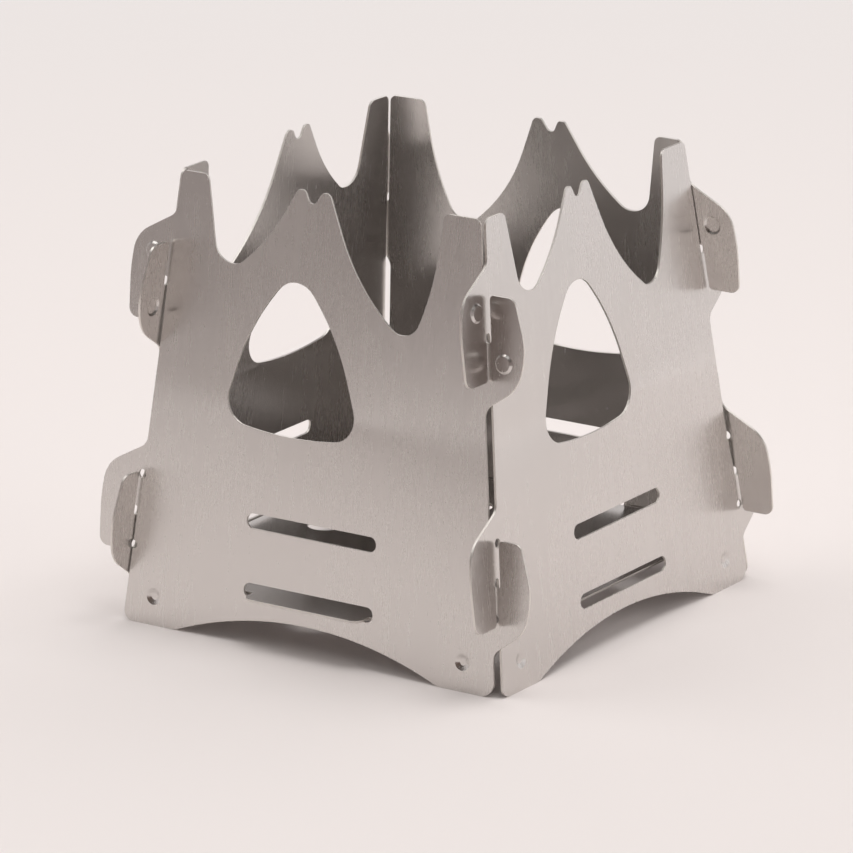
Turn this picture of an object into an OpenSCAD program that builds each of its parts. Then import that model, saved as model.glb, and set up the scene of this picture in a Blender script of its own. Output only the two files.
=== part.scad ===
// Flat-pack pocket stove: four identical sheet-metal panels that hook into each
// other at the corners, and a loose base plate that spans two of their slots.
// The origin is on the ground, under the middle of the stove, and +Z is up.

/* [Stove] */
// Distance between neighbouring corner lines on the ground
base_w = 96; // [90:1:104]
// Height of the stove above the ground
stove_h = 96.8; // [94:0.4:102]
// Lean of every panel from upright, in degrees
lean = 6.1; // [5:0.1:7]
// Thickness of the sheet metal
sheet_t = 0.5; // [0.4:0.05:0.8]

/* [Panel edges] */
// Free gap between a panel's edge and the face of its neighbour
corner_gap = 0.25; // [0.2:0.05:0.4]
// Distance of the left edge from the corner line, between the ears
left_waist_inset = 0.7; // [0.7:0.1:1.5]
// Distance of the right edge from the corner line, between the ears
right_waist_inset = 1.2; // [0.8:0.1:2]
// Distance of the right foot from the corner line
right_foot_inset = 1.4; // [0.8:0.1:2.5]
// Corner radius of the left foot
left_foot_r = 2.2; // [1:0.2:3]
// Corner radius of the right foot
right_foot_r = 3.2; // [1:0.2:4]
// Span of the arch between the feet
arch_w = 66.6; // [60:0.2:70]
// Rise of the arch between the feet
arch_h = 6.5; // [5:0.1:7.5]
// Sideways place of the arch, from the middle of the panel
arch_x = -0.8; // [-2:0.1:2]
// Radius where the arch meets the feet
arch_end_r = 6; // [2:0.5:8]

/* [Crown] */
// Width of the left horn at its top
left_horn_w = 6.7; // [6:0.1:7.5]
// Width of the right horn at its top
right_horn_w = 8.8; // [8:0.1:9.6]
// Corner radius of the horns
horn_r = 1.7; // [1:0.1:2.2]
// Sideways place of the notched peak, from the middle of the panel
peak_x = -3.7; // [-5:0.1:-3]
// Distance between the two corners that the peak is rounded from
peak_w = 6.1; // [5.8:0.1:6.6]
// Depth of the corner that the notch in the peak is rounded from
notch_depth = 4.1; // [3.8:0.1:4.4]
// Depth of the shallow valley, left of the peak
left_valley_depth = 17.7; // [16.5:0.1:19]
// Width of the shallow valley's floor
left_valley_w = 5.7; // [5.6:0.1:6.4]
// Distance from the left horn to the floor of the shallow valley
left_valley_run = 3; // [2.6:0.1:3.4]
// Depth of the deep valley, right of the peak
right_valley_depth = 26.4; // [25:0.1:28]
// Width of the deep valley's floor
right_valley_w = 4.5; // [4.4:0.1:5.2]
// Distance from the right horn to the floor of the deep valley
right_valley_run = 5.8; // [5.4:0.1:6.4]

/* [Window] */
// Width of the triangle that the window is rounded from
window_w = 35.4; // [34:0.2:37]
// Distance from the rim down to the tip of that triangle
window_top_gap = 15.9; // [15:0.1:17]
// Height of the window's sill, measured along the panel
window_y = 47.1; // [46:0.1:49]
// Sideways place of the window, from the middle of the panel
window_x = -7.1; // [-8:0.1:-5]
// Radius of the window's top
window_top_r = 5.8; // [5:0.1:6]
// Radius of the window's lower corners
window_corner_r = 5.4; // [4:0.1:5.6]

/* [Slots] */
// Length of the slots that can hold the base plate
slot_l = 32.6; // [31:0.2:35]
// Height of those slots
slot_h = 3.2; // [2.8:0.1:3.6]
// Sideways place of the slots, from the middle of the panel
slot_x = -0.5; // [-1:0.1:1]
// Height of the lower slot's centre, measured along the panel
low_slot_y = 11.8; // [11:0.1:13]
// Height of the upper slot's centre, measured along the panel
high_slot_y = 26.6; // [25:0.2:29]

/* [Ears] */
// Height at which the lower ears cross, measured along the panel
low_cross_y = 23.9; // [23.4:0.1:24.6]
// Height at which the upper ears cross, measured along the panel
high_cross_y = 73.6; // [72.4:0.2:74.4]
// Reach of the left ears beyond the corner line
left_ear_reach = 9.3; // [8.4:0.1:10.4]
// Reach of the upper right ear beyond the corner line
right_ear_reach = 9.2; // [8:0.1:10]
// Reach of the lower right ear beyond the corner line
low_right_ear_reach = 8.4; // [7.8:0.1:9]
// Length of an ear's free end, from the crossing
ear_end_l = 8.8; // [8:0.1:9.4]
// Length of a left ear's sloped side, from the crossing
left_neck_l = 14.5; // [13.8:0.1:15]
// Length of a right ear's sloped side, from the crossing
right_neck_l = 14.7; // [14.2:0.1:15]
// Corner radius of an ear's free end
ear_r = 2.1; // [1:0.1:2.4]
// Radius where an ear's sloped side meets the edge
neck_r = 3; // [1:0.1:3.6]
// Gap between a left ear's slot and the neighbour's face, on the outside
left_hook_gap = 0.55; // [0.4:0.05:0.8]
// Gap between a right ear's slot and the neighbour's face, on the outside
right_hook_gap = 0.8; // [0.5:0.05:1]
// Distance by which each slot runs past the crossing
slot_run = 1; // [0.6:0.1:1.4]
// Corner radius of the ear at the mouth of its slot
mouth_r = 0.9; // [0.4:0.1:1.2]
// Radius of the round holes beside the lower ears
corner_hole_r = 0.95; // [0.8:0.05:1.1]
// Distance of those holes from the corner line
corner_hole_inset = 0.55; // [0.4:0.05:0.7]
// Height of the lower two of those holes, measured along the panel
low_hole_y = 16.5; // [16.2:0.1:17]
// Height of the upper two of those holes, measured along the panel
high_hole_y = 31.9; // [31.4:0.1:32.2]

/* [Dimples] */
// Height of the pressed dimples
dimple_h = 0.4; // [0.3:0.05:0.5]
// Width of the dimples in the feet
foot_dimple_w = 3.6; // [3:0.1:4.2]
// Width of their flat tops
foot_flat_w = 1.6; // [1:0.1:2.2]
// Distance of the left foot's dimple from the corner line
left_foot_dimple_inset = 7.5; // [6.5:0.1:8.5]
// Distance of the right foot's dimple from the corner line
right_foot_dimple_inset = 9; // [8:0.1:10]
// Height of the foot dimples, measured along the panel
foot_dimple_y = 6.2; // [5:0.1:7]
// Width of the dimples in the upper ears
ear_dimple_w = 4.1; // [3.8:0.1:4.4]
// Width of their flat tops
ear_flat_w = 3.2; // [2.6:0.1:3.4]
// Distance of the ear dimples from the corner line
ear_dimple_reach = 3.9; // [3.6:0.1:4.4]
// Distance of the left ear's dimple above the crossing
left_ear_dimple_y = 5.8; // [5.2:0.1:6.4]
// Distance of the right ear's dimple below the crossing
right_ear_dimple_y = 4.7; // [4.2:0.1:5.4]

/* [Base plate] */
// Thickness of the base plate
plate_t = 0.5; // [0.4:0.1:1]
// Clearance under the base plate's tabs in their slots
seat_gap = 0.3; // [0.25:0.05:0.4]
// Gap between the plate's shoulders and the panels that hold it
shoulder_gap = 0.6; // [0.4:0.1:1]
// Gap between the plate's free sides and the other two panels
side_gap = 2.3; // [2.1:0.1:4]
// Play of a tab at each end of its slot
tab_play = 1.65; // [1.6:0.05:2.4]
// Distance by which the tabs stand out of the panels
tab_out = 2.9; // [2:0.1:4]
// Corner radius of the tabs
tab_r = 2.2; // [1:0.1:2.8]
// Corner radius of the plate
plate_r = 5; // [2:0.5:8]
// Width of the air holes
hole_w = 8; // [6:0.5:9]
// Distance between air holes in a row
hole_pitch = 19.5; // [18:0.5:20.5]
// Distance between rows of air holes
row_pitch = 14; // [13:0.5:15]

/* [Hidden] */
$fn = 64;
arc_steps = 8;
arch_steps = 24;

// Half thickness of the sheet, and what a panel's edge stays short of the corner line
half_t = sheet_t / 2;
edge_inset = half_t + corner_gap;
// How far an outline overruns the ground and the rim, where the panel is trimmed level
trim = sheet_t * sin(lean);
// Height of the rim, measured along the panel
top_y = stove_h / cos(lean);
// Height of the triangle that the window is rounded from
window_h = top_y - window_top_gap - window_y;
// Radius of the arch between the feet, and half of the angle that it spans
arch_r = (arch_w * arch_w / 4 + arch_h * arch_h) / (2 * arch_h);
arch_half_angle = acos((arch_r - arch_h - trim) / arch_r);

// Bends of the outline, as shares of the run between the points on either side
left_valley_r_shares = [0.262, 0.194];
left_flank_shares = [0.49, 0.317];
left_flank_r_share = 2.35;
right_flank_shares = [0.546, 0.282];
right_flank_r_share = 1.6;
right_valley_r_shares = [0.115, 0.166];
right_wall_shares = [0.739, 0.421];
right_wall_r_share = 2.2;
peak_lift_shares = [0.385, 0.46];
peak_r_shares = [0.205, 0.21, 0.24];
notch_share = 0.43;
window_side_shares = [0.628, 0.593];
window_side_r_share = 1.45;
window_sill_share = 0.063;
window_sill_r_share = 2.23;
// Ears: the free end and the shoulder as shares of the reach, the heights as shares of the
// sloped side, and the radii of the fullest point and of the shoulder as shares of the reach
left_end_share = 0.875;
left_bulge_share = 0.1;
left_shoulder_shares = [0.971, 0.615];
left_ear_r_shares = [3.38, 0.77];
right_end_share = 0.748;
right_bulge_share = 0.076;
right_shoulder_shares = [0.803, 0.625];
right_ear_r_shares = [1.6, 0.9];
slot_end_share = 0.45;

// Distance of the corner line from the panel's middle, at height y along the panel
function half_at(y) = base_w / 2 - y * sin(lean);
// Points at a distance outside the left or right corner line, with a corner radius
function at_left(out, y, r) = [-half_at(y) - out, y, r];
function at_right(out, y, r) = [half_at(y) + out, y, r];

// Outline with its corners rounded: each point is [x, y, corner radius]
function unit(v) = v / norm(v);
function flat(p) = [p[0], p[1]];
function wrapped(angle) = (angle + 540) % 360 - 180;
function corner_arc(before, corner, after) =
    let (u = unit(flat(before) - flat(corner)))
    let (v = unit(flat(after) - flat(corner)))
    let (half_bend = acos(u * v) / 2)
    let (centre = flat(corner) + unit(u + v) * corner[2] / sin(half_bend))
    let (from = flat(corner) + u * corner[2] / tan(half_bend) - centre)
    let (to = flat(corner) + v * corner[2] / tan(half_bend) - centre)
    let (start = atan2(from[1], from[0]))
    let (turn = wrapped(atan2(to[1], to[0]) - start))
    [for (i = [0:arc_steps])
        centre + corner[2] * [cos(start + turn * i / arc_steps), sin(start + turn * i / arc_steps)]];
function rounded(points) =
    let (n = len(points))
    [for (i = [0:n - 1])
        let (p = points[i])
        each p[2] == 0 ? [flat(p)] : corner_arc(points[(i + n - 1) % n], p, points[(i + 1) % n])];

// Left ears hook downwards, and right ears hook upwards; edges run up the left, down the right.
// Each list starts at the slot's mouth and ends where the ear's sloped side meets the edge.
left_finger = half_t + left_hook_gap;
right_finger = half_t + right_hook_gap;
left_slot_end_r = (edge_inset + left_finger) * slot_end_share;
right_slot_end_r = (edge_inset + right_finger) * slot_end_share;
function left_ear(cross, inset_below, inset_above) = [
    at_left(-inset_below, cross - ear_end_l, 0),
    at_left(-edge_inset, cross + slot_run, left_slot_end_r),
    at_left(left_finger, cross + slot_run, left_slot_end_r),
    at_left(left_finger, cross - ear_end_l, mouth_r),
    at_left(left_ear_reach * left_end_share, cross - ear_end_l, ear_r),
    at_left(left_ear_reach,
        cross + left_neck_l * left_bulge_share, left_ear_reach * left_ear_r_shares[0]),
    at_left(left_ear_reach * left_shoulder_shares[0],
        cross + left_neck_l * left_shoulder_shares[1], left_ear_reach * left_ear_r_shares[1]),
    at_left(-inset_above, cross + left_neck_l, neck_r)];
function right_ear(cross, reach, inset_above, inset_below) = [
    at_right(-inset_above, cross + ear_end_l, 0),
    at_right(-edge_inset, cross - slot_run, right_slot_end_r),
    at_right(right_finger, cross - slot_run, right_slot_end_r),
    at_right(right_finger, cross + ear_end_l, mouth_r),
    at_right(reach * right_end_share, cross + ear_end_l, ear_r),
    at_right(reach,
        cross - right_neck_l * right_bulge_share, reach * right_ear_r_shares[0]),
    at_right(reach * right_shoulder_shares[0],
        cross - right_neck_l * right_shoulder_shares[1], reach * right_ear_r_shares[1]),
    at_right(-inset_below, cross - right_neck_l, neck_r)];

// Crown, from the left horn over the shallow valley, the peak and the deep valley
left_horn_x = -half_at(top_y) + edge_inset + left_horn_w;
right_horn_x = half_at(top_y) - edge_inset - right_horn_w;
left_peak = [peak_x - peak_w / 2, top_y + notch_depth * peak_lift_shares[0]];
right_peak = [peak_x + peak_w / 2, top_y + notch_depth * peak_lift_shares[1]];
left_floor = [left_horn_x + left_valley_run, top_y - left_valley_depth];
left_floor_end = left_floor + [left_valley_w, 0];
right_floor_end = [right_horn_x - right_valley_run, top_y - right_valley_depth];
right_floor = right_floor_end - [right_valley_w, 0];
left_knee = [left_floor_end[0] + (left_peak[0] - left_floor_end[0]) * left_flank_shares[0],
    left_floor_end[1] + (left_peak[1] - left_floor_end[1]) * left_flank_shares[1]];
right_knee = [right_floor[0] + (right_peak[0] - right_floor[0]) * right_flank_shares[0],
    right_floor[1] + (right_peak[1] - right_floor[1]) * right_flank_shares[1]];
right_wall = [right_floor_end[0] + right_valley_run * right_wall_shares[0],
    right_floor_end[1] + right_valley_depth * right_wall_shares[1]];
crown = [
    at_left(-edge_inset, top_y + trim, horn_r),
    [left_horn_x, top_y + trim, horn_r],
    [left_floor[0], left_floor[1], left_valley_depth * left_valley_r_shares[0]],
    [left_floor_end[0], left_floor_end[1], left_valley_depth * left_valley_r_shares[1]],
    [left_knee[0], left_knee[1], left_valley_depth * left_flank_r_share],
    [left_peak[0], left_peak[1], peak_w * peak_r_shares[0]],
    [left_peak[0] + peak_w * notch_share, top_y - notch_depth, peak_w * peak_r_shares[1]],
    [right_peak[0], right_peak[1], peak_w * peak_r_shares[2]],
    [right_knee[0], right_knee[1], right_valley_depth * right_flank_r_share],
    [right_floor[0], right_floor[1], right_valley_depth * right_valley_r_shares[0]],
    [right_floor_end[0], right_floor_end[1], right_valley_depth * right_valley_r_shares[1]],
    [right_wall[0], right_wall[1], right_valley_depth * right_wall_r_share],
    [right_horn_x, top_y + trim, horn_r],
    at_right(-edge_inset, top_y + trim, horn_r)];

// Arch between the feet, from right to left
arch = [
    for (i = [0:arch_steps])
        let (angle = arch_half_angle * (1 - 2 * i / arch_steps))
        [arch_x + arch_r * sin(angle), arch_h - arch_r + arch_r * cos(angle),
            i % arch_steps == 0 ? arch_end_r : 0]];

panel_outline = concat(
    [at_left(-edge_inset, -trim, left_foot_r)],
    left_ear(low_cross_y, edge_inset, left_waist_inset),
    left_ear(high_cross_y, left_waist_inset, edge_inset),
    crown,
    right_ear(high_cross_y, right_ear_reach, edge_inset, right_waist_inset),
    right_ear(low_cross_y, low_right_ear_reach, right_waist_inset, right_foot_inset),
    [at_right(-right_foot_inset, -trim, right_foot_r)],
    arch);

window_outline = [
    [0, window_h, window_top_r],
    [-window_w / 2 * window_side_shares[0],
        window_h * window_side_shares[1], window_h * window_side_r_share],
    [-window_w / 2, 0, window_corner_r],
    [0, -window_w * window_sill_share, window_w * window_sill_r_share],
    [window_w / 2, 0, window_corner_r],
    [window_w / 2 * window_side_shares[0],
        window_h * window_side_shares[1], window_h * window_side_r_share]];

// Round holes on the corner lines, above and below the crossing of the lower ears
module corner_holes() {
    for (side = [-1, 1], y = [low_hole_y, high_hole_y])
        translate([side * (half_at(y) - corner_hole_inset), y]) circle(corner_hole_r);
}

// Long slot with round ends, for a tab of the base plate
module tab_slot(y) {
    straight = slot_l - slot_h;
    translate([slot_x - straight / 2, y - slot_h / 2]) square([straight, slot_h]);
    for (side = [-1, 1])
        translate([slot_x + side * straight / 2, y]) circle(d = slot_h);
}

module panel_shape() {
    difference() {
        polygon(rounded(panel_outline));
        translate([window_x, window_y]) polygon(rounded(window_outline));
        tab_slot(low_slot_y);
        tab_slot(high_slot_y);
        corner_holes();
    }
}

// Dimples, as [x, y, face, width, width of the flat top]: feet press inwards, upper ears outwards
left_dimple_y = high_cross_y + left_ear_dimple_y;
right_dimple_y = high_cross_y - right_ear_dimple_y;
dimples = [
    [left_foot_dimple_inset - half_at(foot_dimple_y), foot_dimple_y, -1, foot_dimple_w, foot_flat_w],
    [half_at(foot_dimple_y) - right_foot_dimple_inset, foot_dimple_y, -1, foot_dimple_w, foot_flat_w],
    [-half_at(left_dimple_y) - ear_dimple_reach, left_dimple_y, 1, ear_dimple_w, ear_flat_w],
    [half_at(right_dimple_y) + ear_dimple_reach, right_dimple_y, 1, ear_dimple_w, ear_flat_w]];

// Form of a dimple, from a depth below its face up to its flat top
module dimple_form(d, sink) {
    translate([d[0], d[1], 0])
        rotate([d[2] < 0 ? 180 : 0, 0, 0])
            translate([0, 0, -sink])
                rotate_extrude()
                    polygon([[0, 0], [d[3] / 2, 0], [d[3] / 2, half_t],
                        [d[4] / 2, half_t + dimple_h], [0, half_t + dimple_h]]);
}

// Panel standing in its place, turned about the middle of the stove
module panel(turn) {
    reach = base_w;
    rotate([0, 0, turn])
        intersection() {
            translate([0, -base_w / 2, 0])
                rotate([90 - lean, 0, 0])
                    difference() {
                        union() {
                            linear_extrude(sheet_t, center = true) panel_shape();
                            for (d = dimples) dimple_form(d, 0);
                        }
                        for (d = dimples) dimple_form(d, sheet_t);
                    }
            translate([-reach, -reach, 0]) cube([2 * reach, 2 * reach, stove_h]);
        }
}

module front_panel() {
    color([0.66, 0.62, 0.6]) panel(0);
}
module right_panel() {
    color([0.78, 0.75, 0.74]) panel(90);
}
module back_panel() {
    color([0.6, 0.57, 0.55]) panel(180);
}
module left_panel() {
    color([0.64, 0.6, 0.58]) panel(270);
}

// Base plate: lies on the lower edges of the front and back panels' lower slots
plate_z = (low_slot_y - slot_h / 2) * cos(lean) + half_t * sin(lean) + seat_gap;
plate_top = plate_z + plate_t;
inner_half = base_w / 2 - plate_top * tan(lean) - half_t / cos(lean);
outer_half = base_w / 2 - plate_z * tan(lean) + half_t / cos(lean);
plate_half_w = inner_half - side_gap;
plate_half_d = inner_half - shoulder_gap;
tab_w = slot_l - 2 * tab_play;
rows = 5;
holes_in_row = 4;

module rounded_plate(half_w, half_d, r) {
    polygon(rounded([
        [-half_w, -half_d, r], [half_w, -half_d, r], [half_w, half_d, r], [-half_w, half_d, r]]));
}

// Staggered rows of air holes: every other row has one hole fewer
module air_holes() {
    for (row = [0:rows - 1]) {
        count = holes_in_row - row % 2;
        for (i = [0:count - 1])
            translate([hole_pitch * (i - (count - 1) / 2), row_pitch * (row - (rows - 1) / 2)])
                circle(d = hole_w);
    }
}

module base_plate() {
    color([0.55, 0.52, 0.5])
        translate([0, 0, plate_z])
            linear_extrude(plate_t)
                difference() {
                    union() {
                        rounded_plate(plate_half_w, plate_half_d, plate_r);
                        for (turn = [0, 180])
                            rotate(turn)
                                translate([slot_x, 0])
                                    intersection() {
                                        rounded_plate(tab_w / 2, outer_half + tab_out, tab_r);
                                        translate([-tab_w, -base_w]) square([2 * tab_w, base_w]);
                                    }
                    }
                    air_holes();
                }
}

front_panel();
right_panel();
back_panel();
left_panel();
base_plate();
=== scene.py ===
"""Looks for the pocket wood stove: brushed steel on the CAD pieces, a pale floor and soft light."""

import math

import bpy
from mathutils import Matrix, Vector

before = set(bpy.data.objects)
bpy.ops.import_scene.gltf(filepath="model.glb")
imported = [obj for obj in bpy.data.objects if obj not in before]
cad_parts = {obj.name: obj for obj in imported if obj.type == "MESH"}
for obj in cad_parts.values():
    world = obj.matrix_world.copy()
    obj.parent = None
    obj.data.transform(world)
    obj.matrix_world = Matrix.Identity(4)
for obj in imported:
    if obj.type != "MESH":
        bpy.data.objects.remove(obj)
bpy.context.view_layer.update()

# The camera, fitted to the photograph
IMAGE_PX = 853
FOCAL_PX = 6457.23
SENSOR_MM = 36
AZIMUTH = 0.605283
ELEVATION = 0.294719
ROLL = 0.0106523
HALF_BASE = 0.048
DISTANCE = 28.3336 * HALF_BASE
AIM_RIGHT = -0.047312 * HALF_BASE
AIM_UP = 0.786838 * HALF_BASE

# The room as metal mirrors it: its colours behind the stove, on the side that FORWARD points to, at
# the height of the ceiling and right above. The bands say where one colour turns into the next
FORWARD = (0.2, -0.98, 0.0)
REAR = (0.92, 0.885, 0.88)
FRONT = (0.095, 0.05, 0.033)
CEILING = (0.05, 0.038, 0.032)
TENT = (0.34, 0.327, 0.315)
FRONT_BAND = (-0.1, 1.15)
CEILING_BAND = (0.2, 0.6)
TENT_BAND = (0.65, 0.9)

# What lights everything else: the same room, with this light overhead and a glow from behind
OVERHEAD = (0.25, 0.245, 0.24)
GLOW = 3.4
GLOW_BAND = (0.3, -0.5)

# The lamps, as name, place, size and power in watts, and where they point
LAMPS = (("key", (-1.15, -0.65, 1.65), 1.5, 8), ("top", (0.3, 0.1, 1.9), 1.4, 20))
LAMP_COLOUR = (1, 0.985, 0.97)
LAMP_AIM = Vector((0, 0, 0.05))

# The background and the floor, which fades between two distances from the middle
PALE = (0.84, 0.795, 0.78)
FLOOR = (0.825, 0.775, 0.76)
FLOOR_RADIUS = 1.5
FADE_START = 0.17
FADE_END = 0.85

# The steel and its finish. The scales are noise cells per metre, low along the brushing
STEEL = (0.672, 0.645, 0.625)
# A lighter colour on the cut faces: a painted highlight along the cut edges
CUT_EDGE_HIGHLIGHT = (0.8, 0.765, 0.73)
CUT_ROUGHNESS = 0.5
ANISOTROPY = 0.7
EDGE_RADIUS = 0.00014
BUMP_DEPTH = 0.00005
BUMP_STRENGTH = 0.04
NOISE_BAND = (0.3, 0.7)
CUT_BAND = (0.35, 0.3)
FINE_SHARE = 0.6
BROAD_SHARE = 0.4
BROAD_SCALE = 0.2
GRAIN_SHADE = (0.97, 1.03)
CLOUD_SHADE = (0.975, 1.025)
GRAIN_ROUGHNESS = 0.025
CLOUD_ROUGHNESS = 0.02
CLOUD_SCALE = (30, 30, 22)
PANELS = ("front_panel", "right_panel", "back_panel", "left_panel")
PANEL_GRAIN = (2600, 2600, 70)
PANEL_ROUGHNESS = 0.265
PANEL_SEED_STEP = 3.1
PLATE_GRAIN = (70, 2600, 2600)
PLATE_ROUGHNESS = 0.2
PLATE_SEED = 17.0
LEAN = math.radians(6.1)


def make_camera():
    """Puts the camera where the photograph was taken from."""
    back = Vector((
        math.sin(AZIMUTH) * math.cos(ELEVATION),
        -math.cos(AZIMUTH) * math.cos(ELEVATION),
        math.sin(ELEVATION),
    ))
    right = Vector((math.cos(AZIMUTH), math.sin(AZIMUTH), 0))
    up = back.cross(right)
    turned_right = math.cos(ROLL) * right - math.sin(ROLL) * up
    turned_up = math.sin(ROLL) * right + math.cos(ROLL) * up
    data = bpy.data.cameras.new("camera")
    data.sensor_width = SENSOR_MM
    data.lens = FOCAL_PX * SENSOR_MM / IMAGE_PX
    data.clip_start = 0.01
    data.clip_end = 20
    camera = bpy.data.objects.new("camera", data)
    rotation = Matrix((turned_right, turned_up, back)).transposed()
    place = right * AIM_RIGHT + Vector((0, 0, AIM_UP)) + back * DISTANCE
    camera.matrix_world = Matrix.Translation(place) @ rotation.to_4x4()
    bpy.context.scene.collection.objects.link(camera)
    bpy.context.scene.camera = camera


class Graph:
    """A small helper for building a node tree."""

    def __init__(self, tree):
        self.tree = tree
        tree.nodes.clear()

    def add(self, kind, inputs=None, **settings):
        node = self.tree.nodes.new(kind)
        for name, value in settings.items():
            setattr(node, name, value)
        for name, value in (inputs or {}).items():
            if isinstance(value, bpy.types.NodeSocket):
                self.tree.links.new(value, node.inputs[name])
            else:
                node.inputs[name].default_value = value
        return node

    def math(self, operation, a, b=0.0):
        return self.add("ShaderNodeMath", {0: a, 1: b}, operation=operation).outputs[0]

    def dot(self, a, b):
        node = self.add("ShaderNodeVectorMath", {0: a, 1: b}, operation="DOT_PRODUCT")
        return node.outputs["Value"]

    def grey(self, value):
        return self.add("ShaderNodeCombineColor", {0: value, 1: value, 2: value}).outputs[0]

    def background(self, colour):
        return self.add("ShaderNodeBackground", {"Color": colour, "Strength": 1.0}).outputs[0]

    def mix(self, factor, a, b, blend="MIX"):
        node = self.add("ShaderNodeMix", data_type="RGBA", blend_type=blend)
        for index, value in ((0, factor), (6, a), (7, b)):
            socket = node.inputs[index]
            if isinstance(value, bpy.types.NodeSocket):
                self.tree.links.new(value, socket)
            else:
                socket.default_value = value
        return node.outputs[2]

    def mapped(self, value, low, high, to_low=0.0, to_high=1.0, smooth=False):
        node = self.add("ShaderNodeMapRange", {
            "Value": value, "From Min": low, "From Max": high,
            "To Min": to_low, "To Max": to_high})
        node.interpolation_type = "SMOOTHSTEP" if smooth else "LINEAR"
        return node.outputs[0]


def make_world():
    """A pale surround. Metal mirrors a room that is pale behind the stove, dark where the camera
    stands and at the ceiling, and lighter right above. The same room lights the rest, with a soft
    light overhead and a glow from behind."""
    world = bpy.data.worlds.new("studio")
    world.use_nodes = True
    graph = Graph(world.node_tree)
    way = graph.add("ShaderNodeTexCoord").outputs["Generated"]
    forward = graph.dot(way, FORWARD)
    height = graph.add("ShaderNodeSeparateXYZ", {0: way}).outputs[2]
    over = graph.mapped(height, *CEILING_BAND, smooth=True)
    top = graph.mapped(height, *TENT_BAND, smooth=True)
    room = graph.mix(graph.mapped(forward, *FRONT_BAND, smooth=True), (*REAR, 1), (*FRONT, 1))
    glow = graph.grey(graph.mapped(forward, *GLOW_BAND, 1.0, GLOW, smooth=True))
    lit = graph.mix(over, graph.mix(1.0, room, glow, "MULTIPLY"), (*OVERHEAD, 1))
    mirrored = graph.mix(top, graph.mix(over, room, (*CEILING, 1)), (*TENT, 1))

    # The mirrored room is for metal in view, and not for light that left a matt surface before
    path = graph.add("ShaderNodeLightPath")
    shiny = graph.math(
        "MAXIMUM", path.outputs["Is Glossy Ray"], path.outputs["Is Transmission Ray"])
    direct = graph.math("LESS_THAN", path.outputs["Diffuse Depth"], 0.5)
    shiny = graph.math("MULTIPLY", shiny, direct)
    mixed = graph.add("ShaderNodeMixShader", {
        0: shiny, 1: graph.background(lit), 2: graph.background(mirrored)})
    mixed = graph.add("ShaderNodeMixShader", {
        0: path.outputs["Is Camera Ray"], 1: mixed.outputs[0], 2: graph.background((*PALE, 1))})
    graph.add("ShaderNodeOutputWorld", {"Surface": mixed.outputs[0]})
    bpy.context.scene.world = world


def area_light(name, place, size, power):
    """A round soft lamp that points at the stove."""
    data = bpy.data.lights.new(name, "AREA")
    data.shape = "DISK"
    data.size = size
    data.energy = power
    data.color = LAMP_COLOUR
    light = bpy.data.objects.new(name, data)
    light.location = place
    light.rotation_mode = "QUATERNION"
    light.rotation_quaternion = (LAMP_AIM - Vector(place)).to_track_quat("-Z", "Y")
    bpy.context.scene.collection.objects.link(light)


def make_floor():
    """A matt pale disc that keeps the shadows, and fades into the pale surround towards its rim."""
    bpy.ops.mesh.primitive_circle_add(vertices=96, radius=FLOOR_RADIUS, fill_type="NGON")
    floor = bpy.context.object
    floor.name = "floor"
    material = bpy.data.materials.new("floor")
    material.use_nodes = True
    graph = Graph(material.node_tree)
    matt = graph.add("ShaderNodeBsdfDiffuse", {"Color": (*FLOOR, 1)})
    clear = graph.add("ShaderNodeBsdfTransparent")
    place = graph.add("ShaderNodeTexCoord").outputs["Object"]
    reach = graph.add("ShaderNodeVectorMath", {0: place}, operation="LENGTH").outputs["Value"]
    fade = graph.mapped(reach, FADE_START, FADE_END, smooth=True)
    mixed = graph.add("ShaderNodeMixShader", {0: fade, 1: matt.outputs[0], 2: clear.outputs[0]})
    graph.add("ShaderNodeOutputMaterial", {"Surface": mixed.outputs[0]})
    floor.data.materials.append(material)


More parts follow.
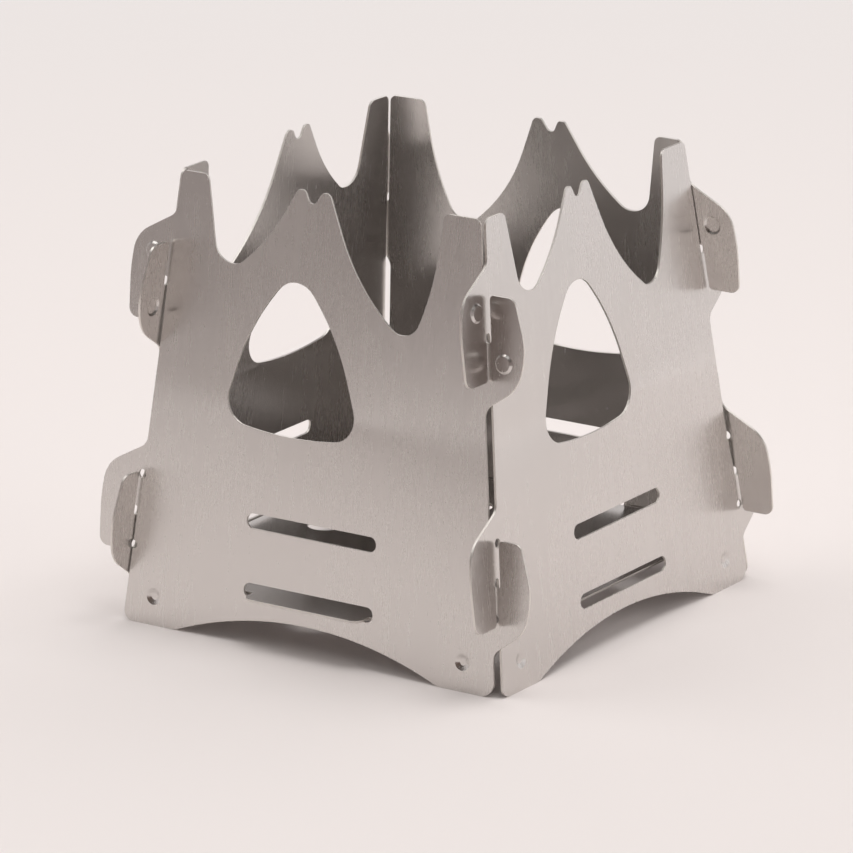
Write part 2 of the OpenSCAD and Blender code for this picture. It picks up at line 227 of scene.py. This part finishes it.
def brushed_steel(name, sheet_normal, grain_scale, rough, axis, seed):
    """Steel brushed along one direction, with faint clouds, rougher cut edges and a painted
    highlight
    on them: a lighter colour on the cut faces. sheet_normal is the way the sheet faces, rough is
    its mean roughness, and axis is the axis that highlights stretch round."""
    material = bpy.data.materials.new(name)
    material.use_nodes = True
    graph = Graph(material.node_tree)
    place = graph.add("ShaderNodeTexCoord").outputs["Object"]

    def noise(scale, shift, detail, roughness):
        moved = graph.add("ShaderNodeMapping", {"Vector": place, "Location": shift, "Scale": scale})
        return graph.add("ShaderNodeTexNoise", {
            "Vector": moved.outputs[0], "Scale": 1.0,
            "Detail": detail, "Roughness": roughness}).outputs[0]

    fine = noise(grain_scale, (seed, seed * 1.7, 0), 3.0, 0.7)
    broad = noise(tuple(v * BROAD_SCALE for v in grain_scale), (seed, 0, seed), 2.0, 0.5)
    clouds = noise(CLOUD_SCALE, (0, seed, 0), 3.0, 0.55)
    grain = graph.math(
        "ADD", graph.math("MULTIPLY", fine, FINE_SHARE), graph.math("MULTIPLY", broad, BROAD_SHARE))

    # Cut faces of the sheet are rougher than the brushed faces, and get a lighter colour as a
    # painted highlight
    facing = graph.add("ShaderNodeNewGeometry").outputs["True Normal"]
    cut = graph.mapped(graph.math("ABSOLUTE", graph.dot(facing, sheet_normal)), *CUT_BAND)

    shade = graph.math(
        "MULTIPLY",
        graph.mapped(grain, *NOISE_BAND, *GRAIN_SHADE),
        graph.mapped(clouds, *NOISE_BAND, *CLOUD_SHADE))
    base = graph.mix(1.0, (*STEEL, 1), graph.grey(shade), "MULTIPLY")
    # Painted highlight: the cut faces take the lighter colour
    base = graph.mix(cut, base, (*CUT_EDGE_HIGHLIGHT, 1))
    roughness = graph.math(
        "ADD",
        graph.mapped(grain, *NOISE_BAND, rough - GRAIN_ROUGHNESS, rough + GRAIN_ROUGHNESS),
        graph.mapped(clouds, *NOISE_BAND, -CLOUD_ROUGHNESS, CLOUD_ROUGHNESS))
    roughness = graph.math("MAXIMUM", roughness, graph.math("MULTIPLY", cut, CUT_ROUGHNESS))
    soft_edge = graph.add("ShaderNodeBevel", {"Radius": EDGE_RADIUS}, samples=4)
    bump = graph.add("ShaderNodeBump", {
        "Height": grain, "Strength": BUMP_STRENGTH, "Distance": BUMP_DEPTH,
        "Normal": soft_edge.outputs[0]})
    tangent = graph.add("ShaderNodeTangent", direction_type="RADIAL", axis=axis)
    shader = graph.add("ShaderNodeBsdfPrincipled", {
        "Base Color": base, "Roughness": roughness,
        "Normal": bump.outputs[0], "Tangent": tangent.outputs[0]})
    shader.inputs["Metallic"].default_value = 1.0
    shader.inputs["Anisotropic"].default_value = ANISOTROPY
    graph.add("ShaderNodeOutputMaterial", {"Surface": shader.outputs[0]})
    return material


def dress(node, material):
    """Puts the material in every slot of a CAD node."""
    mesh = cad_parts[node].data
    if not mesh.materials:
        mesh.materials.append(material)
    for i in range(len(mesh.materials)):
        mesh.materials[i] = material


bpy.context.scene.view_settings.view_transform = "Standard"
make_camera()
make_world()
make_floor()
for lamp in LAMPS:
    area_light(*lamp)

for number, panel in enumerate(PANELS):
    turn = math.pi / 2 * number
    normal = (math.cos(LEAN) * math.sin(turn), -math.cos(LEAN) * math.cos(turn), math.sin(LEAN))
    seed = PANEL_SEED_STEP * number
    dress(panel, brushed_steel(panel, normal, PANEL_GRAIN, PANEL_ROUGHNESS, "Z", seed))
plate_steel = brushed_steel("base_plate", (0, 0, 1), PLATE_GRAIN, PLATE_ROUGHNESS, "X", PLATE_SEED)
dress("base_plate", plate_steel)
